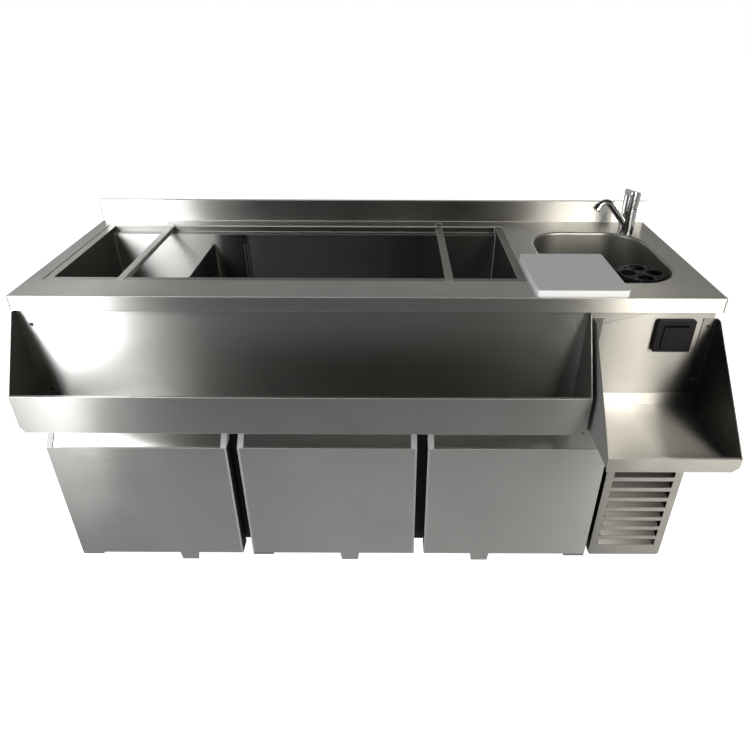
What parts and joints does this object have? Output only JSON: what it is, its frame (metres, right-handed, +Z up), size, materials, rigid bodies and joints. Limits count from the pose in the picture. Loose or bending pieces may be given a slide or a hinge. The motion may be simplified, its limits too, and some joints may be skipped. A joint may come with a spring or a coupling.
{
  "type": "bar sink with ice bin",
  "caption": "Bar station: worktop with ice well and dividers, sink bowl with mixer tap and glass rinser, speed rail, blender shelf and refrigerated base with hinged doors.",
  "frame": {"origin": "centre of the footprint, on the floor under the feet", "axes": "+X to the right along the worktop, +Y towards the backsplash, +Z up; the doors face -Y"},
  "size_m": [1.8, 0.863, 1.085],
  "materials": {
    "steel": "brushed along the length",
    "dark_steel": "satin",
    "chrome": "polished",
    "black": "satin",
    "black_paint": "satin",
    "foam": "matt",
    "grey_plastic": "satin",
    "gasket": "matt",
    "copper": "satin",
    "white": "fine grain",
    "fins": "dull"
  },
  "bodies": {
    "station": {"worktop": "steel", "top_rails": "dark_steel", "well_liner": "steel", "well_drain": "chrome", "partition_guides": "steel", "sink_bowl": "steel", "waste_strainer": "chrome", "waste_tailpipe": "grey_plastic", "rinser_cup": "black", "rinser_spring": "chrome", "rinser_riser": "chrome", "tap_body": "chrome", "tap_nut": "steel", "tap_tails": "copper", "rail_back": "steel", "rail_tray": "steel", "rail_lip": "steel", "rail_end_left": "steel", "rail_end_right": "steel", "blender_shelf": "steel", "shelf_side_left": "steel", "shelf_side_right": "steel", "screws": "chrome", "socket_frame": "black", "socket_insert": "black", "socket_box": "dark_steel", "apron": "steel", "body_shell": "steel", "cabinet_shell": "steel", "cabinet_liner": "steel", "insulation": "foam", "cabinet_mullions": "dark_steel", "shelf_runners": "steel", "wire_shelves": "chrome", "hinge_brackets": "dark_steel", "grille_panel": "steel", "compressor": "black_paint", "condenser": "fins", "fan_shroud": "black", "legs": "black"},
    "door_left": {"door_left_skin": "steel", "door_left_core": "grey_plastic", "door_left_gasket": "gasket"},
    "door_middle": {"door_middle_skin": "steel", "door_middle_core": "grey_plastic", "door_middle_gasket": "gasket"},
    "door_right": {"door_right_skin": "steel", "door_right_core": "grey_plastic", "door_right_gasket": "gasket"},
    "bar_left": {"divider_bar_left": "steel"},
    "bar_right": {"divider_bar_right": "steel"},
    "partition": {"well_partition": "steel"},
    "board": {"cutting_board": "white"},
    "spout": {"tap_spout": "chrome", "tap_aerator": "chrome"},
    "stem": {"tap_stem": "copper"},
    "lever": {"tap_lever": "chrome"},
    "spider": {"rinser_spider": "black"},
    "lid": {"socket_lid": "black"},
    "fan": {"fan_blades": "grey_plastic"}
  },
  "joints": [
    {"name": "door_left_hinge", "type": "hinge", "parent": "station", "child": "door_left", "pos_m": [-0.881, -0.2035, 0.3], "axis": [0, 0, -1], "range_deg": [0, 95]},
    {"name": "door_middle_hinge", "type": "hinge", "parent": "station", "child": "door_middle", "pos_m": [-0.3535, -0.2035, 0.3], "axis": [0, 0, -1], "range_deg": [0, 95]},
    {"name": "door_right_hinge", "type": "hinge", "parent": "station", "child": "door_right", "pos_m": [0.651, -0.2275, 0.3], "axis": [0, 0, 1], "range_deg": [0, 95]},
    {"name": "bar_left_slide", "type": "slide", "parent": "station", "child": "bar_left", "axis": [1, 0, 0], "range_m": [-0.165, 0.4]},
    {"name": "bar_right_slide", "type": "slide", "parent": "station", "child": "bar_right", "axis": [1, 0, 0], "range_m": [-0.4, 0.165]},
    {"name": "partition_lift", "type": "slide", "parent": "station", "child": "partition", "axis": [0, 0, 1], "range_m": [0, 0.19]},
    {"name": "board_slide", "type": "slide", "parent": "station", "child": "board", "axis": [1, 0, 0], "range_m": [-0.2, 0.235]},
    {"name": "spout_swivel", "type": "hinge", "parent": "station", "child": "spout", "pos_m": [0.80688, 0.31957, 0.99], "axis": [0, 0, 1], "range_deg": [-50, 60]},
    {"name": "mixer_turn", "type": "hinge", "parent": "station", "child": "stem", "pos_m": [0.80688, 0.31957, 1.01], "axis": [0, 0, 1], "range_deg": [-40, 40]},
    {"name": "lever_lift", "type": "hinge", "parent": "stem", "child": "lever", "pos_m": [0.80688, 0.31957, 1.034], "axis": [-0.454, 0.891, 0], "range_deg": [0, 20]},
    {"name": "spider_press", "type": "slide", "parent": "station", "child": "spider", "axis": [0, 0, 1], "range_m": [-0.006, 0], "stiffness_N_per_m": 500, "springref_m": 0.004, "deforming": ["rinser_spring"]},
    {"name": "lid_hinge", "type": "hinge", "parent": "station", "child": "lid", "pos_m": [0.794, -0.1695, 0.863], "axis": [-1, 0, 0], "range_deg": [0, 90], "stiffness_Nm_per_rad": 0.05, "springref_deg": -20.05},
    {"name": "fan_spin", "type": "hinge", "parent": "station", "child": "fan", "pos_m": [0.7795, -0.0975, 0.2465], "axis": [0, 1, 0], "continuous": true}
  ]
}
